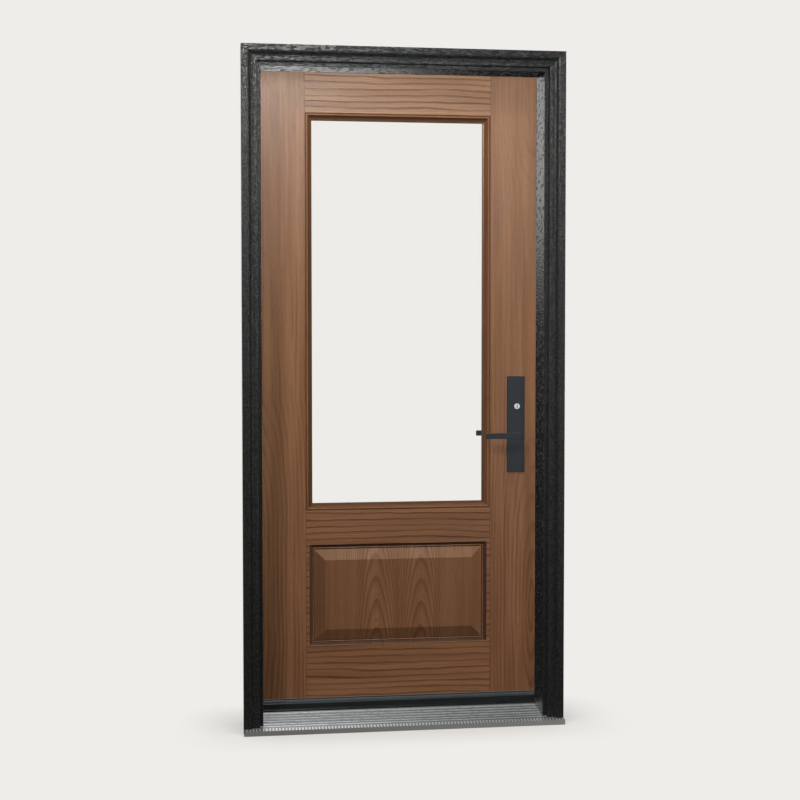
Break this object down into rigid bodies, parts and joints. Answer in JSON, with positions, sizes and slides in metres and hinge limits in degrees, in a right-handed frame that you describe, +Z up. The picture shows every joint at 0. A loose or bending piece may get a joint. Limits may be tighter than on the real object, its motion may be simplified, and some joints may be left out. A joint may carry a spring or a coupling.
{
  "type": "fiberglass entrance door in its frame",
  "caption": "Woodgrain entrance door leaf with a tall clear light over a raised panel, hung inward in a black frame with casing, ribbed sill and lever handle.",
  "frame": {"origin": "underside of the sill, at mid width, in the plane of the frame's outside edge", "axes": "+X to the right seen from outside, +Y into the building, +Z up"},
  "size_m": [1.0066, 0.2815, 2.105],
  "materials": {
    "leaf_finish": "stained woodgrain fibreglass, satin",
    "frame_finish": "black woodgrain composite, satin",
    "sill_metal": "ribbed mill finish",
    "sill_composite": "composite",
    "threshold_plastic": "black vinyl",
    "sweep_plastic": "pale taupe",
    "seal_rubber": "black",
    "core_timber": "laminated timber",
    "core_foam": "rigid foam",
    "clear_glass": "clear",
    "spacer_metal": "dark bronze",
    "black_metal": "matt black powder coat",
    "silver_metal": "satin"
  },
  "bodies": {
    "frame": {"bottom_hinge_frame_leaf": "black_metal", "bottom_hinge_pin": "black_metal", "casing_head": "frame_finish", "casing_left": "frame_finish", "casing_right": "frame_finish", "deadbolt_strike_plate": "silver_metal", "head_jamb": "frame_finish", "head_seal": "seal_rubber", "hinge_jamb": "frame_finish", "hinge_side_seal": "seal_rubber", "latch_strike_plate": "silver_metal", "middle_hinge_frame_leaf": "black_metal", "middle_hinge_pin": "black_metal", "sill_core": "sill_composite", "sill_deck": "sill_metal", "strike_jamb": "frame_finish", "strike_side_seal": "seal_rubber", "threshold_cap": "threshold_plastic", "threshold_riser": "threshold_plastic", "top_hinge_frame_leaf": "black_metal", "top_hinge_pin": "black_metal"},
    "door_leaf": {"bottom_hinge_door_leaf": "black_metal", "bottom_rail": "core_timber", "deadbolt": "silver_metal", "door_sweep": "seal_rubber", "exterior_handle_plate": "black_metal", "exterior_light_frame": "leaf_finish", "exterior_skin": "leaf_finish", "foam_core": "core_foam", "glass_spacer": "spacer_metal", "hinge_stile": "core_timber", "inner_pane": "clear_glass", "interior_handle_plate": "black_metal", "interior_light_frame": "leaf_finish", "interior_skin": "leaf_finish", "key_cylinder": "silver_metal", "latch_bolt": "silver_metal", "lock_faceplate": "silver_metal", "lock_stile": "core_timber", "middle_hinge_door_leaf": "black_metal", "outer_pane": "clear_glass", "sweep_carrier": "sweep_plastic", "thumbturn": "black_metal", "top_hinge_door_leaf": "black_metal", "top_rail": "core_timber"},
    "lever_set": {"exterior_lever": "black_metal", "lever_spindle": "black_metal", "interior_lever": "black_metal"}
  },
  "joints": [
    {"name": "door_swing", "type": "hinge", "parent": "frame", "child": "door_leaf", "pos_m": [-0.4548, 0.1742, 0], "axis": [0, 0, 1], "range_deg": [0, 110]},
    {"name": "lever_turn", "type": "hinge", "parent": "door_leaf", "child": "lever_set", "pos_m": [0.38, 0.14445, 0.90397], "axis": [0, -1, 0], "range_deg": [0, 45], "stiffness_Nm_per_rad": 2, "springref_deg": -20.05}
  ]
}
